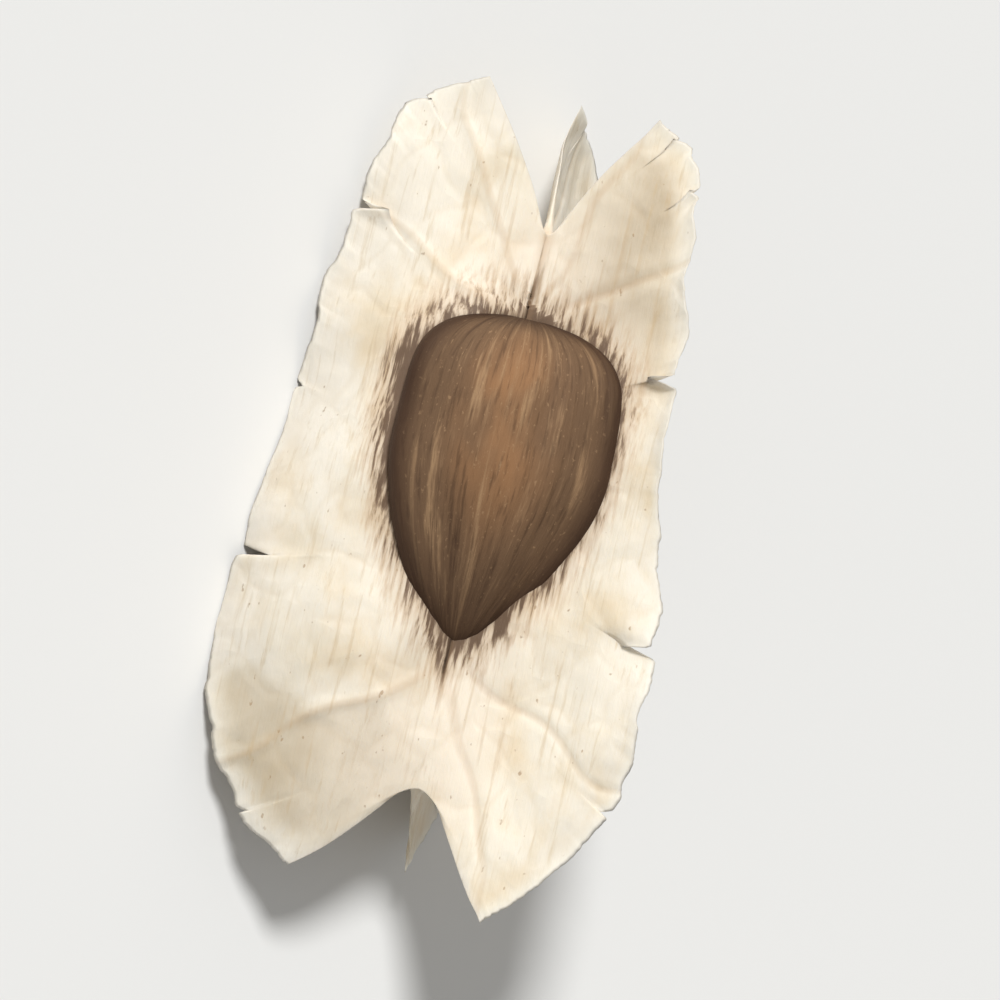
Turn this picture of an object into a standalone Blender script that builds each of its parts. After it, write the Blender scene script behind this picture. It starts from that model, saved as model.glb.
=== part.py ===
"""A winged seed of the moringa tree, lying on a level surface.

The seed is a rounded, three-sided brown hull. A keel runs along each of its three
corners, and from each keel grows a papery cream wing that reaches past both ends of the
hull. Past the hull's ends the three wings meet on the seed's axis, so they hold together
as one body. The seed lies on the outer edges of two wings, and the third leans back.

Metres, +Z up. The seed's axis runs along X, with the blunt end of the hull towards -X
and its pointed end towards +X. The front is towards -Y. The origin is under the middle of
the seed's box, on the surface that the seed lies on.

Run it with: blender --background --python part.py
"""

import math

import bmesh
import bpy
from mathutils import Matrix, Vector, noise

MM = 0.001

# The hull
HULL_LENGTH = 12.5 * MM
HULL_RADIUS = 3.82 * MM
WIDEST_AT = -0.2  # where the hull is widest, from -1 at the blunt end to 1 at the point
SHOULDER = 5.0  # how square the blunt end's shoulders are
TAPER = 1.6  # how the pointed end narrows, at first and then towards its tip
TIP = 0.75
CORNER_SHARE = 0.065  # how far the three corners stand out of a round section
KEEL_HEIGHT = 0.45 * MM
KEEL_HALF_WIDTH = math.radians(9)
HULL_SIDES = 42
HULL_RINGS = 22

# The wings. Each has an outer edge, drawn through points given as millimetres along the
# axis and out from it, from the blunt end to the pointed one. It leaves the axis at its
# root angle, counted from the front over the top to the rear, and bends on its way out.
# The twist turns its two ends opposite ways, and the ripple waves it from side to side. The
# turned slope bends its lobe at the pointed end under.
WINGS = {
    "wing_back": dict(
        root=118.0, bend=13.0, twist=-10.0, ripple=0.45, waves=1.30, phase=0.10,
        edge=((-14.2, 3.2), (-12.4, 5.1), (-7.0, 5.9), (-1.5, 6.4),
              (3.8, 7.4), (9.0, 7.6), (13.0, 5.7), (15.3, 3.6)),
        tears=(0.335, 0.59), turned=0.0, seed=3.0,
    ),
    "wing_front": dict(
        root=-2.0, bend=-43.5, twist=25.0, ripple=0.40, waves=1.05, phase=0.72,
        edge=((-14.4, 3.4), (-12.6, 6.2), (-8.0, 7.1), (-2.5, 7.7),
              (3.0, 8.3), (8.0, 8.6), (12.4, 6.9), (14.9, 3.9)),
        tears=(0.26, 0.605), turned=0.34, seed=11.0,
    ),
    "wing_under": dict(
        root=238.0, bend=-24.0, twist=0.0, ripple=0.35, waves=1.10, phase=0.20,
        edge=((-14.5, 3.2), (-12.6, 6.3), (-7.4, 7.9), (-1.5, 8.4),
              (4.0, 8.6), (8.8, 8.3), (12.4, 6.4), (14.6, 3.4)),
        tears=(0.45, 0.69), turned=0.0, seed=23.0,
    ),
}
BLADE = 0.6 * MM
SUNK = 0.2 * MM  # how far each wing's root passes the axis
ROOT_BLUNT = -8.7 * MM  # the wings meet on the axis between the hull and here
ROOT_POINTED = 9.9 * MM
FULL_REACH = 9.0 * MM  # the distance from the axis at which bend, twist and ripple are full
GAP = 0.3 * MM  # clear space between the hull and the wings
TURNED_FROM = 7.4 * MM  # where along the axis a turned lobe starts to bend
TURN_SOFTNESS = 0.6 * MM
STEPS_LONG = 40
STEPS_WIDE = 9

# The raggedness of the wings' edges
FRAY = 0.38 * MM
FRAY_PER_WING = 19.0
TEAR_DEPTH = 1.3 * MM
TEAR_HALF_WIDTH = 0.016
TEAR_KEEPS_TO_EDGE = 5  # the power that keeps fray and tears to a wing's outer part

# The creases of the papery wings
CREASE = 0.5 * MM
CREASES_LONG = 6.0
CREASES_WIDE = 2.2

# The surface that the seed lies on is this far below its axis
REST_DEPTH = 4.82 * MM

COLOURS = {"hull": (0.115, 0.062, 0.038), "wings": (0.72, 0.62, 0.44)}
ROUGHNESS = {"hull": 0.75, "wings": 0.82}


def clear_scene():
    for obj in list(bpy.data.objects):
        bpy.data.objects.remove(obj)


def new_collection(name, shown=True):
    collection = bpy.data.collections.new(name)
    bpy.context.scene.collection.children.link(collection)
    collection.hide_render = not shown
    return collection


def new_object(name, mesh, collection):
    obj = bpy.data.objects.new(name, mesh)
    collection.objects.link(obj)
    return obj


def mesh_from(shape, name):
    mesh = bpy.data.meshes.new(name)
    shape.to_mesh(mesh)
    shape.free()
    return mesh


def new_material(name):
    material = bpy.data.materials.new(name)
    material.use_nodes = True
    shader = material.node_tree.nodes["Principled BSDF"]
    shader.inputs["Base Color"].default_value = (*COLOURS[name], 1.0)
    shader.inputs["Roughness"].default_value = ROUGHNESS[name]
    shader.inputs["Metallic"].default_value = 0.0
    return material


def around_axis(x, out, angle, aside=0.0):
    """A point out from the axis at an angle from -Y over the top to +Y, moved aside."""
    return Vector((
        x,
        -out * math.cos(angle) + aside * math.sin(angle),
        out * math.sin(angle) + aside * math.cos(angle),
    ))


def along_curve(points, share):
    """The point that is a share of the way along a smooth curve through the points."""
    place = share * (len(points) - 1)
    index = min(int(place), len(points) - 2)
    near = (max(0, min(len(points) - 1, index + step)) for step in (-1, 0, 1, 2))
    before, start, end, after = (Vector(points[i]) for i in near)
    t = place - index
    curve = 2.0 * start + (end - before) * t
    curve += (2.0 * before - 5.0 * start + 4.0 * end - after) * t**2
    curve += (3.0 * start - before - 3.0 * end + after) * t**3
    return 0.5 * curve


def hull_share(place):
    """The hull's radius along its length, as a share of its widest radius."""
    if place < WIDEST_AT:
        towards_blunt = (WIDEST_AT - place) / (WIDEST_AT + 1.0)
        return math.sqrt(max(0.0, 1.0 - towards_blunt**SHOULDER))
    towards_point = (place - WIDEST_AT) / (1.0 - WIDEST_AT)
    return max(0.0, 1.0 - towards_point**TAPER) ** TIP


def hull_radius(place, angle):
    """The hull's radius at a place along its length and an angle round it."""
    keels = [math.radians(wing["root"]) for wing in WINGS.values()]
    share = hull_share(place)
    radius = HULL_RADIUS * share * (1.0 + CORNER_SHARE * math.cos(3.0 * (angle - keels[0])))
    for keel in keels:
        off = math.remainder(angle - keel, math.tau) / KEEL_HALF_WIDTH
        radius += KEEL_HEIGHT * share * math.exp(-off * off)
    return radius


def hull_mesh(name, swell=0.0):
    """The hull as a sphere drawn to its section and profile, larger all over by swell."""
    shape = bmesh.new()
    bmesh.ops.create_uvsphere(
        shape, u_segments=HULL_SIDES, v_segments=HULL_RINGS, radius=1.0
    )
    for vertex in shape.verts:
        place = max(-1.0, min(1.0, vertex.co.z))
        angle = math.atan2(vertex.co.y, -vertex.co.x)
        at_end = math.hypot(vertex.co.x, vertex.co.y) < 1e-4
        out = 0.0 if at_end else hull_radius(place, angle) + swell
        vertex.co = around_axis(place * (HULL_LENGTH / 2.0 + swell), out, angle)
    mesh = mesh_from(shape, name)
    mesh.shade_smooth()
    return mesh


def wing_edge(wing, along):
    """A wing's edge: its place along the axis, its distance out, and how much is torn off."""
    x, out = along_curve(wing["edge"], along) * MM
    torn = FRAY * noise.noise(Vector((along * FRAY_PER_WING, wing["seed"], 0.0)))
    for tear in wing["tears"]:
        torn += TEAR_DEPTH * max(0.0, 1.0 - abs(along - tear) / TEAR_HALF_WIDTH)
    return x, out, torn


def wing_point(wing, along, across):
    """A point on a wing's middle surface, along from the blunt end and across from the axis."""
    x_edge, out_edge, torn = wing_edge(wing, along)
    x_root = ROOT_BLUNT + (ROOT_POINTED - ROOT_BLUNT) * along
    x = x_root + (x_edge - x_root) * across**0.8
    out = -SUNK + (out_edge + SUNK) * across - torn * across**TEAR_KEEPS_TO_EDGE
    share = max(0.0, out) / FULL_REACH
    angle = wing["root"] + wing["bend"] * share**1.4
    angle += wing["twist"] * (2.0 * along - 1.0) * share
    wave = math.sin(math.tau * (wing["waves"] * along + wing["phase"]))
    crease = noise.noise(Vector((along * CREASES_LONG, across * CREASES_WIDE, wing["seed"])))
    aside = wing["ripple"] * MM * wave * share**1.5 + CREASE * crease * share
    turn = TURN_SOFTNESS * math.log1p(math.exp((x - TURNED_FROM) / TURN_SOFTNESS))
    aside -= wing["turned"] * share * turn
    return around_axis(x, out, math.radians(angle), aside)


def wing_blade(name, collection):
    """One wing: a flat grid drawn to the wing's bent surface, then given its thickness."""
    shape = bmesh.new()
    bmesh.ops.create_grid(shape, x_segments=STEPS_LONG, y_segments=STEPS_WIDE, size=0.5)
    for vertex in shape.verts:
        along = max(0.0, min(1.0, vertex.co.x + 0.5))
        across = max(0.0, min(1.0, vertex.co.y + 0.5))
        vertex.co = wing_point(WINGS[name], along, across)
    bmesh.ops.triangulate(shape, faces=shape.faces)
    blade = new_object(name, mesh_from(shape, name), collection)
    thicken = blade.modifiers.new("thickness", "SOLIDIFY")
    thicken.thickness = BLADE
    thicken.offset = 0.0
    return blade


def combine(obj, operation, collection):
    """Joins or cuts an object with every object of a collection, which are then removed."""
    modifier = obj.modifiers.new(operation.lower(), "BOOLEAN")
    modifier.operation = operation
    modifier.operand_type = "COLLECTION"
    modifier.collection = collection
    bpy.context.view_layer.update()
    graph = bpy.context.evaluated_depsgraph_get()
    made = bpy.data.meshes.new_from_object(obj.evaluated_get(graph))
    obj.modifiers.clear()
    obj.data = made
    for other in list(collection.objects):
        bpy.data.objects.remove(other)


def surface_block(collection):
    """A block under the resting surface, which trims the wings' lowest edges flat."""
    side = 4.0 * HULL_LENGTH
    bpy.ops.mesh.primitive_cube_add(size=side, location=(0.0, 0.0, -REST_DEPTH - side / 2.0))
    block = bpy.context.object
    block.name = "surface_block"
    for holder in list(block.users_collection):
        holder.objects.unlink(block)
    collection.objects.link(block)


def set_on_origin(objects):
    """Moves the seed so that the origin is under the middle of its box, on the surface."""
    corners = [vertex.co for obj in objects for vertex in obj.data.vertices]
    low = Vector([min(corner[axis] for corner in corners) for axis in range(3)])
    high = Vector([max(corner[axis] for corner in corners) for axis in range(3)])
    shift = Vector((-(low.x + high.x) / 2.0, -(low.y + high.y) / 2.0, -low.z))
    for obj in objects:
        obj.data.transform(Matrix.Translation(shift))
    print("the seed's axis is moved by", [round(value / MM, 3) for value in shift], "mm")


def main():
    clear_scene()
    seed = new_collection("moringa_seed")
    cutters = new_collection("cutters", shown=False)

    hull = new_object("hull", hull_mesh("hull"), seed)
    hull.data.materials.append(new_material("hull"))

    first, *others = WINGS
    wings = wing_blade(first, seed)
    for name in others:
        wing_blade(name, cutters)
    combine(wings, "UNION", cutters)
    new_object("hull_room", hull_mesh("hull_room", GAP), cutters)
    surface_block(cutters)
    combine(wings, "DIFFERENCE", cutters)
    wings.name = "wings"
    wings.data.name = "wings"
    wings.data.materials.clear()
    wings.data.materials.append(new_material("wings"))

    set_on_origin([hull, wings])


main()
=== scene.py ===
# %% [markdown]
# # A winged moringa seed
#
# A dry moringa seed is a brown hull about a centimetre across, rounded and three-sided, with
# a blunt end and a pointed one. A keel runs along each corner, and each keel grows a papery
# cream wing, thin enough for light to glow through. The wings run past both ends of the hull
# and meet there on the seed's axis. The seed lies on the edges of two wings.
#
# The solids already have the right size and stance. This script gives them their looks: the
# two plain solids are swapped for finer meshes, which follow the same curves, and each gets a
# finish made of nodes.

# %% Load the solids and keep their box
import math

import bpy
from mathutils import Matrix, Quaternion, Vector, kdtree, noise


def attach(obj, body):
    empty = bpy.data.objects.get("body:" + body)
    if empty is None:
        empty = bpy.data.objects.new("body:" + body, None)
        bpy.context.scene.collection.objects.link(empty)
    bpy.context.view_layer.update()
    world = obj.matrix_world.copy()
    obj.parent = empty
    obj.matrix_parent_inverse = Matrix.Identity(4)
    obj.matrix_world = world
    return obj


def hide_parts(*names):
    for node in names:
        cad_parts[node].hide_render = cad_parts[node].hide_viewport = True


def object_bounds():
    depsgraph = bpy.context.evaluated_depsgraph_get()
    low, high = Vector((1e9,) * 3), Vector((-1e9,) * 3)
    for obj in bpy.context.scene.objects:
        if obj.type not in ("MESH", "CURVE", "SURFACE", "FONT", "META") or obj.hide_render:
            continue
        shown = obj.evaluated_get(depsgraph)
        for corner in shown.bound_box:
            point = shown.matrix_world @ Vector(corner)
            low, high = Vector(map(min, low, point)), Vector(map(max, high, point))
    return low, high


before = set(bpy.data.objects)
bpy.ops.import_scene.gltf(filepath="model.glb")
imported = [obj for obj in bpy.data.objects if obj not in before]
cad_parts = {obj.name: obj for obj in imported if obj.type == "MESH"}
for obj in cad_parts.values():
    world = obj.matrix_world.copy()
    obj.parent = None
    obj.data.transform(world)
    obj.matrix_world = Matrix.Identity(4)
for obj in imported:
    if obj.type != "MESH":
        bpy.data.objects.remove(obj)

cad_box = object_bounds()
MM = 0.001
print("the solids' box in mm:", [[round(c / MM, 2) for c in corner] for corner in cad_box])

# %% [markdown]
# ## The seed's axis
#
# Everything on this seed is placed by its axis: how far along it, how far out from it, and
# at which angle round it. The axis could be typed in as numbers, but the hull's solid knows
# it already: its pole at the blunt end and its tip at the pointed end both lie on it.

# %% Measure the axis on the hull's solid
hull_points = [vertex.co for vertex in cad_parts["hull"].data.vertices]
hull_tip = max(hull_points, key=lambda point: point.x)
hull_pole = min(hull_points, key=lambda point: point.x)
HULL_HALF = (hull_tip.x - hull_pole.x) / 2.0
MIDDLE = Vector(((hull_tip.x + hull_pole.x) / 2.0, hull_tip.y, hull_tip.z))
print("hull length", round(2.0 * HULL_HALF / MM, 2), "mm, axis height", round(MIDDLE.z / MM, 2))


def around_axis(x, out, angle, aside=0.0):
    """A point from the axis, at an angle from the front over the top to the rear."""
    return MIDDLE + Vector((
        x,
        -out * math.cos(angle) + aside * math.sin(angle),
        out * math.sin(angle) + aside * math.cos(angle),
    ))


# %% [markdown]
# ## The wings' facts
#
# Each wing leaves the axis at its root angle and bends on its way out. Its outer edge is a
# smooth curve through a few points, in millimetres along the axis and out from it. These
# are the facts that the solids were made from, so the finer wings keep their form. The nicks,
# the rolled stretch of edge, the folds and the stretch of painted shade are new here: they are
# too fine for the solids.
#
# Root, bend and twist are in degrees. Tears and nicks are shares of the way from the blunt
# end to the pointed one. So are the middle and half length of the stretch of painted shade and
# of the rolled stretch. What follows these is how strong the painted shade gets at most, from
# 0 to 1, and how far the rolled edge rises, in millimetres. A fold is the angle, in radians, at
# which it leaves the axis.

# %% Name the facts of each wing
WINGS = {
    "wing_front": dict(
        root=-2.0, bend=-43.5, twist=25.0, ripple=0.40, waves=1.05, phase=0.72,
        edge=((-14.4, 3.4), (-12.6, 6.2), (-8.0, 7.1), (-2.5, 7.7),
              (3.0, 8.3), (8.0, 8.6), (12.4, 6.9), (14.9, 3.9)),
        tears=(0.26, 0.605), nicks=(0.11, 0.44, 0.90), turned=0.34,
        painted_shade=(0.95, 0.35, 0.62), rolled=(0.30, 0.16, 0.22),
        folds_blunt=(0.50, 1.15), folds_pointed=(0.85,), seed=11.0,
    ),
    "wing_back": dict(
        root=118.0, bend=13.0, twist=-10.0, ripple=0.45, waves=1.30, phase=0.10,
        edge=((-14.2, 3.2), (-12.4, 5.1), (-7.0, 5.9), (-1.5, 6.4),
              (3.8, 7.4), (9.0, 7.6), (13.0, 5.7), (15.3, 3.6)),
        tears=(0.335, 0.59), nicks=(0.07, 0.16, 0.76), turned=0.0,
        painted_shade=(0.11, 0.23, 1.0), rolled=(0.27, 0.26, -0.50),
        folds_blunt=(0.34, 0.95), folds_pointed=(0.40, 1.05), seed=3.0,
    ),
    "wing_under": dict(
        root=238.0, bend=-24.0, twist=0.0, ripple=0.35, waves=1.10, phase=0.20,
        edge=((-14.5, 3.2), (-12.6, 6.3), (-7.4, 7.9), (-1.5, 8.4),
              (4.0, 8.6), (8.8, 8.3), (12.4, 6.4), (14.6, 3.4)),
        tears=(0.45, 0.69), nicks=(0.08, 0.21, 0.86), turned=0.0,
        painted_shade=(0.55, 0.15, 1.0), rolled=(0.80, 0.10, 0.20),
        folds_blunt=(0.60,), folds_pointed=(0.45, 1.20), seed=23.0,
    ),
}
ROOT_BLUNT = -8.7 * MM
ROOT_POINTED = 9.9 * MM
FULL_REACH = 9.0 * MM
FRAY = 0.38 * MM
FRAY_PER_WING = 19.0
TEAR_DEPTH = 1.3 * MM
TEAR_HALF_WIDTH = 0.006
TEAR_KEEPS_TO_EDGE = 5
TURNED_FROM = 7.4 * MM
TURN_SOFTNESS = 0.6 * MM
CREASE = 0.5 * MM
CREASES_LONG = 6.0
CREASES_WIDE = 2.2
SPREAD_CURVE = 0.8  # how a wing's rows spread out from its root towards its two ends
BEND_CURVE = 1.4
RIPPLE_CURVE = 1.5
STRAIGHT = 12.0  # this many softnesses from a soft bend, the sheet is straight
print("wings:", ", ".join(WINGS))


def along_curve(points, share):
    """The point that is a share of the way along a smooth curve through the points."""
    place = share * (len(points) - 1)
    index = min(int(place), len(points) - 2)
    near = (max(0, min(len(points) - 1, index + step)) for step in (-1, 0, 1, 2))
    before, start, end, after = (Vector(points[i]) for i in near)
    t = place - index
    curve = 2.0 * start + (end - before) * t
    curve += (2.0 * before - 5.0 * start + 4.0 * end - after) * t**2
    curve += (3.0 * start - before - 3.0 * end + after) * t**3
    return 0.5 * curve


# %% [markdown]
# ## The hull's form
#
# The hull is a turned shape with square shoulders and a tapering point, drawn out to three
# soft corners. It could be sculpted from a sphere by hand, but then the wings couldn't know
# where its surface is. A formula for its radius serves both.

# %% Give the hull's radius as a formula
HULL_RADIUS = 3.82 * MM
WIDEST_AT = -0.2
SHOULDER = 5.0
TAPER = 1.6
TIP = 0.75
CORNER_SHARE = 0.065
KEEL_HEIGHT = 0.45 * MM
KEEL_HALF_WIDTH = math.radians(9)
KEELS = [math.radians(wing["root"]) for wing in WINGS.values()]


def hull_share(place):
    """The hull's radius along its length, as a share of its widest radius."""
    if abs(place) >= 1.0:
        return 0.0
    if place < WIDEST_AT:
        towards_blunt = (WIDEST_AT - place) / (WIDEST_AT + 1.0)
        return math.sqrt(1.0 - towards_blunt**SHOULDER)
    towards_point = (place - WIDEST_AT) / (1.0 - WIDEST_AT)
    return (1.0 - towards_point**TAPER) ** TIP


def to_keel(angle):
    """The angle to the nearest keel."""
    return min(abs(math.remainder(angle - keel, math.tau)) for keel in KEELS)


def hull_radius(place, angle):
    """The hull's radius at a place along its length and an angle round it."""
    share = hull_share(place)
    corner = 1.0 + CORNER_SHARE * math.cos(3.0 * (angle - KEELS[0]))
    keel = KEEL_HEIGHT * math.exp(-(to_keel(angle) / KEEL_HALF_WIDTH) ** 2)
    return share * (HULL_RADIUS * corner + keel)


print("hull radius at a keel", round(hull_radius(WIDEST_AT, KEELS[0]) / MM, 2), "mm")

# %% [markdown]
# ## Model the hull
#
# On the real seed the hull's skin is woody, with fine lengthwise ribs that meet at both ends,
# shallow dents, and a small sunken scar at the blunt end where the seed hung in its pod. A
# bump in the finish could fake the ribs, but not on the outline, so they are real here: a
# dense sphere is added, and each of its points is moved to the hull's radius plus the relief.

# %% Work out the hull's relief
RELIEF = (  # height, how fine it is round the hull and along it, seed
    (0.10 * MM, 5.2, 0.9, 4.0),  # ribs
    (0.045 * MM, 13.0, 2.4, 9.0),  # fine ribs
    (0.16 * MM, 1.5, 1.6, 15.0),  # dents
)
SCAR_DEPTH = 0.35 * MM
SCAR_HALF_WIDTH = 0.55 * MM


def ring_noise(angle, place, round_scale, long_scale, seed):
    """Noise that closes on itself round the hull and is drawn out along it."""
    return noise.noise(Vector((
        math.cos(angle) * round_scale, math.sin(angle) * round_scale, place * long_scale + seed
    )))


def hull_relief(place, angle):
    """The height of the hull's ribs and dents over its smooth form."""
    relief = sum(
        height * ring_noise(angle, place, round_scale, long_scale, seed)
        for height, round_scale, long_scale, seed in RELIEF
    )
    return relief * min(1.0, 2.0 * hull_share(place))


print("the relief is", round(hull_relief(0.0, 1.0) / MM, 3), "mm high at one place halfway along")

# %% Add the hull and shape it
HULL_SIDES = 288
HULL_RINGS = 170
POLE = 1e-4  # a point of the unit sphere this near its axis is a pole


def deselect():
    bpy.ops.object.select_all(action="DESELECT")


def name_piece(name):
    """Names the piece that was just added, and its mesh."""
    piece = bpy.context.active_object
    piece.name = name
    piece.data.name = name
    return piece


def store(piece, name, values, kind="FLOAT"):
    """Keeps a value for each point of a piece, for its finish to read."""
    field = piece.data.attributes.new(name, kind, "POINT")
    flat = values if kind == "FLOAT" else [part for value in values for part in value]
    field.data.foreach_set("value" if kind == "FLOAT" else "vector", flat)


def make_hull():
    deselect()
    bpy.ops.mesh.primitive_uv_sphere_add(segments=HULL_SIDES, ring_count=HULL_RINGS, radius=1.0)
    hull = name_piece("seed_hull")
    maps, rims, ends = [], [], []
    for vertex in hull.data.vertices:
        place = max(-1.0, min(1.0, vertex.co.z))
        angle = math.atan2(vertex.co.y, -vertex.co.x)
        out = hull_radius(place, angle) + hull_relief(place, angle)
        at_pole = math.hypot(vertex.co.x, vertex.co.y) < POLE
        scar = SCAR_DEPTH * math.exp(-(out / SCAR_HALF_WIDTH) ** 2) * (place < 0.0)
        maps.append((math.cos(angle), math.sin(angle), place))
        rims.append(to_keel(angle) * out / MM)
        ends.append(place)
        x = place * HULL_HALF + scar
        vertex.co = around_axis(x, 0.0 if at_pole else out, angle)
    store(hull, "hull_map", maps, "FLOAT_VECTOR")
    store(hull, "from_keel", rims)
    store(hull, "place", ends)
    bpy.ops.object.shade_smooth()
    return hull


seed_hull = make_hull()
print("hull:", len(seed_hull.data.polygons), "faces")

# %% [markdown]
# ## The wings' paper
#
# A wing is one papery sheet, bent and crinkled. Its edge is frayed, with a few deep tears and
# some small nicks. Its form could come from a cloth simulation, but the sheet has to follow
# the solid's wing, so its middle surface is a formula too: along the seed, and across from
# the axis to the edge. Fray and tears keep to the outer part. Otherwise each would draw a
# line right across the wing to its root.

# %% Work out a wing's edge
NOTCH_SHARPNESS = 1.6
NICK_DEPTH = 0.45 * MM
NICK_HALF_WIDTH = 0.006
FINE_FRAY = ((52.0, 0.10 * MM), (120.0, 0.05 * MM), (230.0, 0.03 * MM))


def notch(along, places, depth, half_width):
    """How deep the tears or nicks are at this place along the edge."""
    shares = (max(0.0, 1.0 - abs(along - place) / half_width) for place in places)
    return depth * sum(share**NOTCH_SHARPNESS for share in shares)


def wing_edge(wing, along):
    """A wing's edge: its place along the axis, its distance out, and how much is torn off."""
    x, out = along_curve(wing["edge"], along) * MM
    torn = FRAY * noise.noise(Vector((along * FRAY_PER_WING, wing["seed"], 0.0)))
    for per_wing, depth in FINE_FRAY:
        torn += depth * noise.noise(Vector((along * per_wing, wing["seed"], 2.0)))
    torn += notch(along, wing["tears"], TEAR_DEPTH, TEAR_HALF_WIDTH)
    torn += notch(along, wing["nicks"], NICK_DEPTH, NICK_HALF_WIDTH)
    return x, out, torn


for name, wing in WINGS.items():
    deepest = max(wing_edge(wing, tear)[2] for tear in wing["tears"])
    print(name, "is torn", round(deepest / MM, 2), "mm deep")

# %% [markdown]
# ## Creases, crinkles and lifted lips
#
# Dry paper buckles in three ways here. Soft dimples cover it all, and so do finer crinkles,
# which run lengthwise as its fibres do. A few folds fan out from the hull's two ends, where
# the sheet was drawn together as it dried. Where the edge is torn, one lip of the tear stands
# a little above the other, and a stretch of each edge is rolled up.

# %% Work out a wing's relief
DIMPLES = ((0.22, 0.30 * MM), (0.6, 0.07 * MM), (1.7, 0.022 * MM))  # per millimetre, height
DIMPLES_OUT = 0.8  # how fine the dimples are across the wing, against along it
CRINKLE = 0.09 * MM
CRINKLES_LONG = 0.20  # crinkles per millimetre along the seed
CRINKLES_OUT = 0.60
FOLD = 0.07 * MM
FOLD_HALF_WIDTH = 0.22 * MM
FOLD_START = 0.9  # where the folds start, as a share of the hull's half length
FOLD_WANDER = 0.22
FOLD_WANDERS = 0.25  # per millimetre
FOLD_RISE = 2.0 * MM
CALM = 2.5 * MM  # nearer to the axis than this, the paper lies calmer
ROLL_FROM = 0.86
LIP = 0.30 * MM
LIP_HALF_WIDTH = 0.03
LIP_STEP = 6.0  # how suddenly one lip of a tear gives way to the other
CURL = 0.6 * MM
CURL_FROM = 0.70
CURLS_PER_WING = 7.0


def fold_height(wing, x, out):
    """How far the folds that fan out from the hull's ends stand up, from 0 to 1."""
    from_end = abs(x) - FOLD_START * HULL_HALF
    if from_end <= 0.0:
        return 0.0
    reach = math.hypot(from_end, out)
    turn = math.atan2(out, from_end)
    end_seed = wing["seed"] + math.copysign(5.0, x)
    height = 0.0
    for place, fold in enumerate(wing["folds_blunt"] if x < 0.0 else wing["folds_pointed"]):
        at = Vector((reach / MM * FOLD_WANDERS, end_seed, 3.0 * place))
        wander = FOLD_WANDER * noise.noise(at)
        off = (turn - fold + wander) * reach / FOLD_HALF_WIDTH
        height = max(height, math.exp(-off * off))
    return height * min(1.0, reach / FOLD_RISE)


def wing_relief(wing, along, across, x, out):
    """How far the paper's dimples, crinkles, folds, curls and torn lips stand out."""
    height = 0.0
    for per_mm, size in DIMPLES:
        at = Vector((x / MM * per_mm, out / MM * per_mm * DIMPLES_OUT, wing["seed"] + per_mm))
        height += size * noise.noise(at)
    at = Vector((x / MM * CRINKLES_LONG, out / MM * CRINKLES_OUT, wing["seed"] - 4.0))
    height += CRINKLE * (0.5 - 2.0 * abs(noise.noise(at)))
    height += FOLD * fold_height(wing, x, out)
    height *= min(1.0, out / CALM)
    curl = max(0.0, across - CURL_FROM) / (1.0 - CURL_FROM)
    height += CURL * curl**2 * noise.noise(Vector((along * CURLS_PER_WING, 0.0, wing["seed"])))
    for tear in wing["tears"]:
        off = (along - tear) / LIP_HALF_WIDTH
        height += LIP * curl * math.tanh(LIP_STEP * off) * math.exp(-off * off)
    place, half_length, rise = wing["rolled"]
    roll = max(0.0, across - ROLL_FROM) / (1.0 - ROLL_FROM)
    height += rise * MM * roll**2 * math.exp(-((along - place) / half_length) ** 2)
    return height


for name, wing in WINGS.items():
    rolled_by = wing_relief(wing, wing["rolled"][0], 1.0, 0.0, wing_edge(wing, 0.5)[1])
    print(name, "stands", round(rolled_by / MM, 2), "mm off its smooth sheet where its edge is rolled")

# %% Work out a wing's sheet
LOWEST = 0.06 * MM
SETTLE = 0.10 * MM


def settle(point):
    """Bends a sheet's point flat where it would sink into the resting surface."""
    over = (point.z - LOWEST) / SETTLE
    if over < STRAIGHT:
        point.z = LOWEST + SETTLE * math.log1p(math.exp(over))
    return point


def sheet_point(wing, along, across, edge):
    """A point of a wing's middle surface, the way that its upper side faces, and its x and out."""
    x_edge, out_edge, torn = edge
    x_root = ROOT_BLUNT + (ROOT_POINTED - ROOT_BLUNT) * along
    x = x_root + (x_edge - x_root) * across**SPREAD_CURVE
    out = out_edge * across - torn * across**TEAR_KEEPS_TO_EDGE
    share = out / FULL_REACH
    angle = wing["root"] + wing["bend"] * share**BEND_CURVE
    angle = math.radians(angle + wing["twist"] * (2.0 * along - 1.0) * share)
    wave = math.sin(math.tau * (wing["waves"] * along + wing["phase"]))
    crease = noise.noise(Vector((along * CREASES_LONG, across * CREASES_WIDE, wing["seed"])))
    aside = wing["ripple"] * MM * wave * share**RIPPLE_CURVE + CREASE * crease * share
    aside += wing_relief(wing, along, across, x, out)
    past_turn = (x - TURNED_FROM) / TURN_SOFTNESS
    if past_turn > -STRAIGHT:
        aside -= wing["turned"] * share * TURN_SOFTNESS * math.log1p(math.exp(past_turn))
    point = settle(around_axis(x, out, angle, aside))
    return point, Vector((0.0, math.sin(angle), math.cos(angle))), x, out


print("a wing's sheet at mid-length reaches",
      round(wing_edge(WINGS["wing_front"], 0.5)[1] / MM, 2), "mm out")

# %% [markdown]
# ## The distance to the hull
#
# Two things depend on how far a point of the wing is from the hull: the paper is thicker
# where it leaves the hull, and the hull's brown runs out into it. Brown runs further along
# the fibres than across them, so the distance is measured with the seed squeezed lengthwise.
# The nearest point of the hull's profile is looked up in a tree, which is fast.

# %% Measure distances to the hull
SQUEEZE = 0.5
PROFILE_STEPS = 400
profile = kdtree.KDTree(PROFILE_STEPS + 1)
for step in range(PROFILE_STEPS + 1):
    place = 2.0 * step / PROFILE_STEPS - 1.0
    profile_out = hull_radius(place, KEELS[0])
    profile.insert((place * HULL_HALF * SQUEEZE, profile_out, 0.0), step)
profile.balance()


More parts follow.
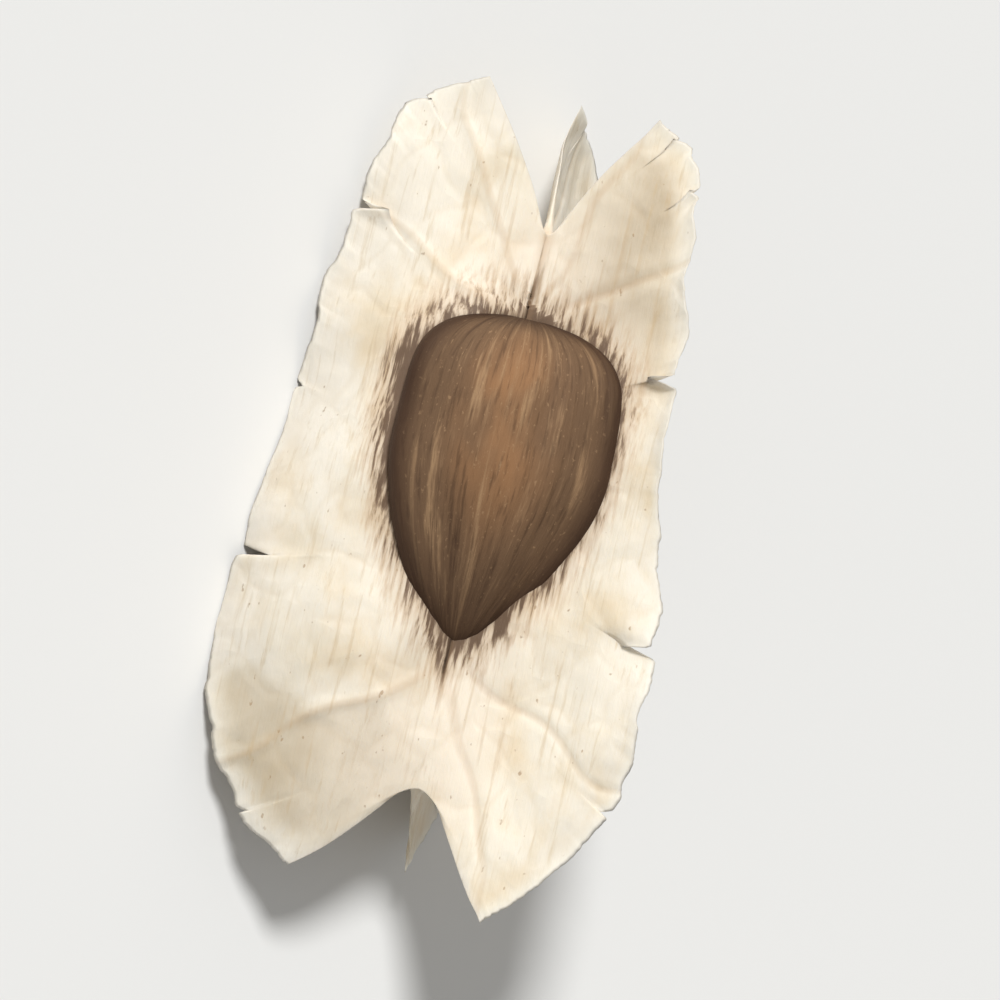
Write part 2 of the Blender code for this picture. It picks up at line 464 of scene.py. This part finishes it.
def from_hull(x, out):
    """The squeezed distance from the hull's keel, below zero inside the hull."""
    _, _, distance = profile.find((x * SQUEEZE, out, 0.0))
    inside = out < hull_radius(x / HULL_HALF, KEELS[0])
    return -distance if inside else distance


print("the wing's edge is", round(from_hull(0.0, 7.7 * MM) / MM, 2), "mm from the hull")

# %% [markdown]
# ## Model the wings
#
# The skin of one wing runs on into the next: between two wings it forms a rounded valley
# along the axis, and the hull swells up out of it. Three blades pushed together would show
# hard creases there. So one dense grid is added and wrapped once round the seed. It runs from
# each wing's edge down to the valley and up the next wing, and back round to where it began.
# In the valley the two sides are blended along a hyperbola, which rounds it.
#
# The grid's first and last rows meet, and at the seed's two ends its rows fold shut. Merging
# the doubled points closes the skin, so the wings are thin solids, as real paper is.

# %% Give the paper its thickness
EDGE_HALF = 0.045 * MM  # half the paper's thickness near its edge
ROOT_HALF = 0.11 * MM
FLARE = 0.17 * MM  # how much thicker the paper is where it leaves the hull
FLARE_FADE = 0.40 * MM
EDGE_ROUNDING = 24
END_FADE = 0.03


def to_ends(along):
    """A share that drops to nothing at the seed's two ends."""
    return min(1.0, min(along, 1.0 - along) / END_FADE) ** 0.5


def half_thickness(along, across, outside):
    """Half the paper's thickness: nothing at its edge and ends, and most beside the hull."""
    half = EDGE_HALF + (ROOT_HALF - EDGE_HALF) * (1.0 - across) ** 2
    half += FLARE * math.exp(-max(0.0, outside) / FLARE_FADE)
    return half * math.sqrt(max(0.0, 1.0 - across**EDGE_ROUNDING)) * to_ends(along)


thin = 2.0 * half_thickness(0.5, 0.8, 3.0 * MM)
print("the paper is", round(thin / MM, 2), "mm thick near its edge")

# %% Say where a wing gets painted shade
LOBE_FROM = 8.3 * MM  # a turned wing gets painted shade only past this place along the axis
LOBE_SOFTNESS = 0.7 * MM
LOBE_WANDER = 0.9 * MM
LOBE_WANDERS = 0.5  # per millimetre
PAINTED_SHADE_OUT = 4.0 * MM  # how far from the axis the painted shade reaches its most


def ease(share):
    """A share kept between 0 and 1, with a soft start and a soft stop."""
    share = min(1.0, max(0.0, share))
    return share * share * (3.0 - 2.0 * share)


def painted_shade_amount(wing, along, x, out):
    """How much painted shade a wing gets at a place, from 0 to 1: it starts a little way off the axis.
    """
    place, half_length, most = wing["painted_shade"]
    amount = most * math.exp(-((along - place) / half_length) ** 2)
    if wing["turned"] > 0.0:
        at = Vector((out / MM * LOBE_WANDERS, wing["seed"], 7.0))
        wander = LOBE_WANDER * noise.noise(at)
        amount *= ease((x + wander - LOBE_FROM) / LOBE_SOFTNESS)
    return amount * min(1.0, out / PAINTED_SHADE_OUT)


for name, wing in WINGS.items():
    print(name, "is most weathered at", wing["painted_shade"][0], "of its length")

# %% Wrap a grid round the seed
LONG_STEPS = 420
SIDE_STEPS = 39
SIDES = 2 * len(WINGS)
VALLEY = 0.11  # how round the valley is, as a share of a wing's width
SADDLE = 0.11  # how much rounder it is past the hull's pointed end
SADDLE_FROM = 0.74
SADDLE_FULL = 0.90
CLUSTER = 0.35  # how much closer the rows lie near a wing's edge
WELD = 1e-6  # points nearer than this are merged


def round_valley(along, swing):
    """How far across its own wing a point lies, and how far the next wing pulls it over.

    Swing runs from -1 at one wing's edge over 0 in the valley to 1 at the next wing's edge.
    """
    soft = VALLEY + SADDLE * ease((along - SADDLE_FROM) / (SADDLE_FULL - SADDLE_FROM))
    soft *= (1.0 - swing * swing) ** 2 * to_ends(along)
    bow = math.hypot(swing, soft)
    return min(1.0, (bow + abs(swing)) / 2.0), (bow - abs(swing)) / 2.0


def skin_point(along, around, edges):
    """A point of the skin and its place on the wing: around runs once round the seed."""
    wings = list(WINGS.values())
    sector = min(int(around * len(wings)), len(wings) - 1)
    step = 2.0 * (around * len(wings) - sector) - 1.0
    swing = (1.0 - CLUSTER) * step + CLUSTER * math.sin(step * math.pi / 2.0)
    major, minor = round_valley(along, swing)
    low, high = sector, (sector + 1) % len(wings)
    near, far = (low, high) if swing < 0.0 else (high, low)
    point, facing, x, out = sheet_point(wings[near], along, major, edges[near])
    beside, _, _, _ = sheet_point(wings[far], along, minor, edges[far])
    x_root = ROOT_BLUNT + (ROOT_POINTED - ROOT_BLUNT) * along
    point = point + beside - around_axis(x_root, 0.0, 0.0)
    outside = from_hull(x, out)
    side = 1.0 if swing < 0.0 else -1.0
    point += facing * side * half_thickness(along, major, outside)
    return point, dict(
        from_hull=outside / MM,
        from_edge=(1.0 - major) * edges[near][1] / MM,
        from_axis=out / MM,
        fold=fold_height(wings[near], x, out),
        painted_shade_amount=painted_shade_amount(wings[near], along, x, out),
    )


def make_wings():
    deselect()
    bpy.ops.mesh.primitive_grid_add(
        x_subdivisions=LONG_STEPS, y_subdivisions=SIDES * SIDE_STEPS, size=1.0
    )
    wings = name_piece("seed_wings")
    edges, kept = {}, {}
    for vertex in wings.data.vertices:
        along = max(0.0, min(1.0, vertex.co.x + 0.5))
        around = max(0.0, min(1.0, vertex.co.y + 0.5))
        key = round(along * LONG_STEPS)
        if key not in edges:
            edges[key] = [wing_edge(wing, along) for wing in WINGS.values()]
        vertex.co, facts = skin_point(along, around, edges[key])
        for name, value in facts.items():
            kept.setdefault(name, []).append(value)
    for name, values in kept.items():
        store(wings, name, values)
    bpy.ops.object.mode_set(mode="EDIT")
    bpy.ops.mesh.select_all(action="SELECT")
    bpy.ops.mesh.remove_doubles(threshold=WELD)
    bpy.ops.mesh.normals_make_consistent(inside=False)
    bpy.ops.object.mode_set(mode="OBJECT")
    bpy.ops.object.shade_smooth()
    return wings


seed_wings = make_wings()
print("wings:", len(seed_wings.data.polygons), "faces")

# %% [markdown]
# ## Helpers for finishes
#
# A finish is a tree of nodes that ends in one Principled shader. The same few steps come
# back in each: read a value that was kept on the points, draw noise out into streaks, turn a
# value into a mask, and lay a colour over another through a mask. Each step is a helper.


# %% Define the helpers
class Finish:
    """A material under construction."""

    def __init__(self, name, roughness):
        self.material = bpy.data.materials.new(name)
        self.material.use_nodes = True
        self.nodes = self.material.node_tree.nodes
        self.links = self.material.node_tree.links
        self.shader = self.nodes["Principled BSDF"]
        self.shader.inputs["Roughness"].default_value = roughness

    def add(self, kind, **settings):
        node = self.nodes.new(kind)
        for name, value in settings.items():
            setattr(node, name, value)
        return node

    def feed(self, socket, value):
        """Links a socket to another node's output, or gives it a plain value."""
        if isinstance(value, bpy.types.NodeSocket):
            self.links.new(value, socket)
        else:
            socket.default_value = value

    def kept(self, name, vector=False):
        node = self.add("ShaderNodeAttribute", attribute_name=name)
        return node.outputs["Vector" if vector else "Fac"]

    def millimetres(self):
        """The place on the object, in millimetres."""
        place = self.add("ShaderNodeTexCoord")
        node = self.add("ShaderNodeVectorMath", operation="SCALE")
        self.feed(node.inputs[0], place.outputs["Object"])
        node.inputs["Scale"].default_value = 1.0 / MM
        return node.outputs["Vector"]

    def noise(self, where, fineness, detail=4.0, roughness=0.55):
        """Noise with its own fineness along each axis: the higher, the finer."""
        mapping = self.add("ShaderNodeMapping")
        self.feed(mapping.inputs["Vector"], where)
        mapping.inputs["Scale"].default_value = fineness
        node = self.add("ShaderNodeTexNoise")
        self.feed(node.inputs["Vector"], mapping.outputs["Vector"])
        node.inputs["Scale"].default_value = 1.0
        node.inputs["Detail"].default_value = detail
        node.inputs["Roughness"].default_value = roughness
        return node.outputs["Fac"]

    def cracks(self, where, scale, wander):
        """The distance to a net of crooked lines, in cells of about one over the scale."""
        bend = self.add("ShaderNodeTexNoise")
        self.feed(bend.inputs["Vector"], where)
        bend.inputs["Scale"].default_value = scale
        shift = self.add("ShaderNodeVectorMath", operation="SCALE")
        self.feed(shift.inputs[0], bend.outputs["Color"])
        shift.inputs["Scale"].default_value = wander / scale
        moved = self.add("ShaderNodeVectorMath", operation="ADD")
        self.feed(moved.inputs[0], where)
        self.feed(moved.inputs[1], shift.outputs["Vector"])
        net = self.add("ShaderNodeTexVoronoi", feature="DISTANCE_TO_EDGE")
        self.feed(net.inputs["Vector"], moved.outputs["Vector"])
        net.inputs["Scale"].default_value = scale
        return net.outputs["Distance"]

    def mask(self, value, low, high, to_low=0.0, to_high=1.0):
        """A value turned into a mask that eases from to_low at low to to_high at high."""
        node = self.add("ShaderNodeMapRange", interpolation_type="SMOOTHSTEP")
        self.feed(node.inputs["Value"], value)
        for name, number in zip(("From Min", "From Max", "To Min", "To Max"),
                                (low, high, to_low, to_high)):
            node.inputs[name].default_value = number
        return node.outputs["Result"]

    def math(self, operation, one, other):
        node = self.add("ShaderNodeMath", operation=operation)
        self.feed(node.inputs[0], one)
        self.feed(node.inputs[1], other)
        return node.outputs["Value"]

    def lay(self, under, over, mask, blend="MIX"):
        """A colour laid over another through a mask."""
        node = self.add("ShaderNodeMix", data_type="RGBA", blend_type=blend)
        self.feed(node.inputs["Factor"], mask)
        self.feed(node.inputs["A"], under if not isinstance(under, tuple) else (*under, 1.0))
        self.feed(node.inputs["B"], over if not isinstance(over, tuple) else (*over, 1.0))
        return node.outputs["Result"]

    def bump(self, height, distance, strength=1.0, onto=None):
        node = self.add("ShaderNodeBump")
        self.feed(node.inputs["Height"], height)
        node.inputs["Distance"].default_value = distance
        node.inputs["Strength"].default_value = strength
        if onto is not None:
            self.feed(node.inputs["Normal"], onto)
        return node.outputs["Normal"]

    def finish(self, piece, colour, normal):
        self.feed(self.shader.inputs["Base Color"], colour)
        self.feed(self.shader.inputs["Normal"], normal)
        piece.data.materials.clear()
        piece.data.materials.append(self.material)


print("helpers ready")

# %% [markdown]
# ## The hull's finish
#
# The hull is a dry, dull brown. Its faces are greyish, with a painted highlight in a lighter,
# warmer brown on their middle, and fine pale and dark streaks run along the ribs. It darkens
# towards the keels, partly its own darker rim and partly painted shade where it meets the
# wings, and towards both ends, where the wings' tissue joins it.

# %% Finish the hull
HULL_GREY = (0.158, 0.092, 0.050)
HULL_WARM_HIGHLIGHT = (0.335, 0.172, 0.078)
HULL_DARK_AND_SHADE = (0.042, 0.020, 0.011)
HULL_PALE = (0.43, 0.27, 0.145)
HULL_SHINE = 0.18
PATCHES = (1.2, 1.2, 1.4)  # how fine each pattern is round the hull, twice, and along it
STREAKS = (9.0, 9.0, 1.3)
FINE_STREAKS = (26.0, 26.0, 5.0)
SPECKS = (30.0, 30.0, 34.0)


def finish_hull(piece):
    finish = Finish("dry_hull", roughness=0.7)
    finish.shader.inputs["Specular IOR Level"].default_value = HULL_SHINE
    where = finish.kept("hull_map", vector=True)
    from_keel = finish.kept("from_keel")
    place = finish.kept("place")
    patches = finish.noise(where, PATCHES, detail=3.0)
    streaks = finish.noise(where, STREAKS, detail=6.0, roughness=0.65)
    fine = finish.noise(where, FINE_STREAKS)
    specks = finish.noise(where, SPECKS, detail=2.0)

    # Painted highlight: the middle of each face, away from the keels and the ends, is laid in a
    # lighter, warmer brown.
    crown_highlight = finish.mask(from_keel, 1.3, 3.5)
    crown_highlight = finish.math("MULTIPLY", crown_highlight, finish.mask(place, 0.55, -0.35, 0.08, 1.0))
    crown_highlight = finish.math("MULTIPLY", crown_highlight, finish.mask(place, -1.0, -0.55, 0.30, 1.0))
    crown_highlight = finish.math("MULTIPLY", crown_highlight, finish.mask(patches, 0.33, 0.60, 0.25, 1.0))
    colour = finish.lay(HULL_GREY, HULL_WARM_HIGHLIGHT, crown_highlight)
    colour = finish.lay(colour, HULL_PALE, finish.mask(streaks, 0.52, 0.72, 0.0, 0.7))
    colour = finish.lay(colour, HULL_DARK_AND_SHADE, finish.mask(streaks, 0.47, 0.30, 0.0, 0.65))
    colour = finish.lay(colour, HULL_DARK_AND_SHADE, finish.mask(fine, 0.46, 0.32, 0.0, 0.35))
    colour = finish.lay(colour, HULL_PALE, finish.mask(specks, 0.62, 0.74, 0.0, 0.4))
    # Darker towards the keels: partly the hull's own darker rim, partly painted shade where the hull
    # meets the wings.
    keel_dark_and_shade = finish.math("ADD", from_keel, finish.math("MULTIPLY", streaks, -0.8))
    colour = finish.lay(colour, HULL_DARK_AND_SHADE, finish.mask(keel_dark_and_shade, 0.6, -0.25, 0.0, 0.85))
    ends = finish.math("MAXIMUM", finish.mask(place, 0.2, 1.0, 0.0, 0.6),
                       finish.mask(place, -0.88, -1.0, 0.0, 0.8))
    colour = finish.lay(colour, HULL_DARK_AND_SHADE, ends)

    normal = finish.bump(streaks, 0.12 * MM, 0.7)
    normal = finish.bump(fine, 0.05 * MM, 0.6, onto=normal)
    finish.finish(piece, colour, normal)


finish_hull(seed_hull)
print("hull finished")

# %% [markdown]
# ## The wings' finish
#
# The paper is cream, mottled with straw and a faint grey-green, and fine fibres run along it.
# A stretch of each wing where the sheet lies in shade gets painted shade, a dull tan, and tiny
# brown flecks dot it all. Where it meets the hull the brown bleeds out along the fibres in
# short streaks, then fades through tan to cream. The folds and the valley past each end of the
# hull are tan, and right beside the hull the valley's crease is painted dark brown as shade.
# The edge is thinner, and painted paler: partly the paper's own paler rim, partly a painted
# glow of light through the thin paper. Light passes through the paper, which subsurface
# scattering gives here, because the wings are closed thin solids.

# %% Finish the wings
CREAM = (0.86, 0.775, 0.645)
STRAW = (0.74, 0.575, 0.375)
GREY_GREEN = (0.60, 0.535, 0.41)
PAINTED_SHADE_TAN = (0.42, 0.335, 0.225)
TAN = (0.50, 0.325, 0.175)
BROWN_BLEED_AND_SHADE = (0.095, 0.048, 0.026)
FIBRE = (0.52, 0.375, 0.21)
FLECK = (0.33, 0.20, 0.10)
EDGE_PALE_AND_GLOW = (0.90, 0.83, 0.69)
WING_SHINE = 0.3
GLOW = 0.35  # how much of the paper's light is scattered inside it
GLOW_COLOUR = (1.0, 0.9, 0.74)
GLOW_REACH = 0.4 * MM
MOTTLE = (0.26, 0.32, 0.32)  # how fine each pattern is per millimetre, along and across
CLOUD = (0.13, 0.18, 0.18)
FIBRES = (0.16, 4.2, 4.2)
GRAIN = (3.0, 7.0, 7.0)
FEATHER = (0.55, 5.5, 5.5)
FLECKS = (2.2, 3.2, 3.2)
CREASE_NET = 0.40


def finish_wings(piece):
    finish = Finish("papery_wing", roughness=0.6)
    finish.shader.inputs["Specular IOR Level"].default_value = WING_SHINE
    place = finish.millimetres()
    from_hull = finish.kept("from_hull")
    from_edge = finish.kept("from_edge")
    from_axis = finish.kept("from_axis")
    fold = finish.kept("fold")
    painted_shade = finish.kept("painted_shade_amount")
    mottle = finish.noise(place, MOTTLE, detail=5.0)
    cloud = finish.noise(place, CLOUD, detail=3.0)
    fibres = finish.noise(place, FIBRES, detail=5.0, roughness=0.62)
    grain = finish.noise(place, GRAIN)
    feather = finish.noise(place, FEATHER, detail=5.0, roughness=0.6)
    flecks = finish.noise(place, FLECKS, detail=2.0)
    creases = finish.cracks(place, CREASE_NET, wander=0.9)

    colour = finish.lay(CREAM, STRAW, finish.mask(mottle, 0.46, 0.74, 0.0, 0.7))
    colour = finish.lay(colour, GREY_GREEN, finish.mask(cloud, 0.52, 0.70, 0.0, 0.45))
    # Painted shade: a dull tan laid over a stretch of each wing where the sheet lies in shade, patchy
    # with the mottle, kept off the edge and fading in near the axis.
    patchy_painted_shade = finish.math("MULTIPLY", painted_shade, finish.mask(mottle, 0.30, 0.60, 0.65, 1.0))
    patchy_painted_shade = finish.math("MULTIPLY", patchy_painted_shade, finish.mask(from_edge, 0.25, 1.0))
    colour = finish.lay(colour, PAINTED_SHADE_TAN, patchy_painted_shade)
    colour = finish.lay(colour, FIBRE, finish.mask(fibres, 0.47, 0.30, 0.0, 0.36))
    colour = finish.lay(colour, FLECK, finish.mask(flecks, 0.70, 0.76, 0.0, 0.6))
    # The edge is painted paler: partly the paper's own paler rim, partly a painted glow of light
    # through the thin edge.
    colour = finish.lay(colour, EDGE_PALE_AND_GLOW, finish.mask(from_edge, 0.45, 0.05, 0.0, 0.8))
    colour = finish.lay(colour, TAN, finish.mask(fold, 0.45, 1.0, 0.0, 0.20))
    colour = finish.lay(colour, FIBRE, finish.mask(creases, 0.09, 0.0, 0.0, 0.10))

    spread = finish.math("ADD", from_hull, finish.mask(feather, 0.34, 0.68, 0.30, -0.34))
    colour = finish.lay(colour, TAN, finish.mask(spread, 0.85, -0.1, 0.0, 0.65))
    colour = finish.lay(colour, BROWN_BLEED_AND_SHADE, finish.mask(spread, 0.30, -0.20, 0.0, 0.85))
    near_axis = finish.mask(from_axis, 0.60, 0.15)
    # Tan along the valley, for a short way past each end of the hull.
    valley_tan = finish.math("MULTIPLY", near_axis, finish.mask(from_hull, 2.4, 0.1, 0.15, 0.8))
    colour = finish.lay(colour, TAN, valley_tan)
    # Painted shade: dark brown laid in the valley's crease just past each end of the hull, where two
    # wings meet.
    valley_crease_shade = finish.math("MULTIPLY", near_axis, finish.mask(spread, 1.0, 0.1, 0.0, 0.85))
    colour = finish.lay(colour, BROWN_BLEED_AND_SHADE, valley_crease_shade)

    finish.shader.inputs["Subsurface Weight"].default_value = GLOW
    finish.shader.inputs["Subsurface Radius"].default_value = GLOW_COLOUR
    finish.shader.inputs["Subsurface Scale"].default_value = GLOW_REACH
    normal = finish.bump(finish.mask(creases, 0.0, 0.22), 0.07 * MM, 0.4)
    normal = finish.bump(fibres, 0.06 * MM, 0.6, onto=normal)
    normal = finish.bump(grain, 0.025 * MM, 0.5, onto=normal)
    finish.finish(piece, colour, normal)


finish_wings(seed_wings)
print("wings finished")

# %% [markdown]
# ## Join the pieces to the frame
#
# Each new piece rides on the seed's one body and stands for its plain solid, which is hidden.

# %% Join the pieces to the frame
for piece, node in ((seed_hull, "hull"), (seed_wings, "wings")):
    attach(piece, "root")
    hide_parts(node)
    print(piece.name, "stands for", node)

# %% [markdown]
# ## The floor, the light and the camera
#
# The seed lies on a plain pale surface under soft light from the upper left of the picture.
# The camera looks down on the face between the two upper wings. It is rolled, so that the
# seed's pointed end is at the bottom of the picture. A long lens keeps the seed free of
# perspective, as in a picture of something small.

# %% Add the floor
FLOOR_SIZE = 2.0
FLOOR_PALE = (0.83, 0.83, 0.815, 1.0)


def make_floor():
    deselect()
    bpy.ops.mesh.primitive_plane_add(size=FLOOR_SIZE)
    floor = name_piece("floor")
    finish = Finish("white_card", roughness=0.9)
    finish.shader.inputs["Base Color"].default_value = FLOOR_PALE
    floor.data.materials.append(finish.material)
    print("the floor is", FLOOR_SIZE, "m wide")


make_floor()

# %% Add the lights
SUN_TURN = (math.radians(24), math.radians(-42), 0.0)
SUN_ENERGY = 3.05
SUN_SOFTNESS = math.radians(12)
ROOM_COLOUR = (1.0, 0.99, 0.97, 1.0)
ROOM_STRENGTH = 0.35


def make_lights():
    deselect()
    bpy.ops.object.light_add(type="SUN", rotation=SUN_TURN)
    sun = bpy.context.active_object
    sun.data.energy = SUN_ENERGY
    sun.data.angle = SUN_SOFTNESS
    world = bpy.data.worlds.new("soft_room")
    world.use_nodes = True
    background = world.node_tree.nodes["Background"]
    background.inputs["Color"].default_value = ROOM_COLOUR
    background.inputs["Strength"].default_value = ROOM_STRENGTH
    bpy.context.scene.world = world
    bpy.context.scene.view_settings.view_transform = "Standard"
    print("one sun, and a room of strength", ROOM_STRENGTH)


make_lights()

# %% Add the camera
ELEVATION = math.radians(55)
ROLL = math.radians(103)
LENS = 150.0
SENSOR = 36.0
FRAME_HEIGHT = 36.0 * MM  # how much of the seed's plane the picture spans
CLIP = (0.1, 20.0)  # nearest and farthest things seen, in camera distances


def make_camera():
    deselect()
    low, high = cad_box
    target = (low + high) / 2.0
    back = Vector((0.0, -math.cos(ELEVATION), math.sin(ELEVATION)))
    distance = FRAME_HEIGHT * LENS / SENSOR
    turn = (-back).to_track_quat("-Z", "Y")
    turn.rotate(Quaternion(back, ROLL))
    bpy.ops.object.camera_add(location=target + back * distance, rotation=turn.to_euler())
    camera = bpy.context.active_object
    camera.data.lens = LENS
    camera.data.sensor_width = SENSOR
    camera.data.clip_start = distance * CLIP[0]
    camera.data.clip_end = distance * CLIP[1]
    bpy.context.scene.camera = camera
    print("camera at", [round(c / MM, 1) for c in camera.location], "mm")


make_camera()
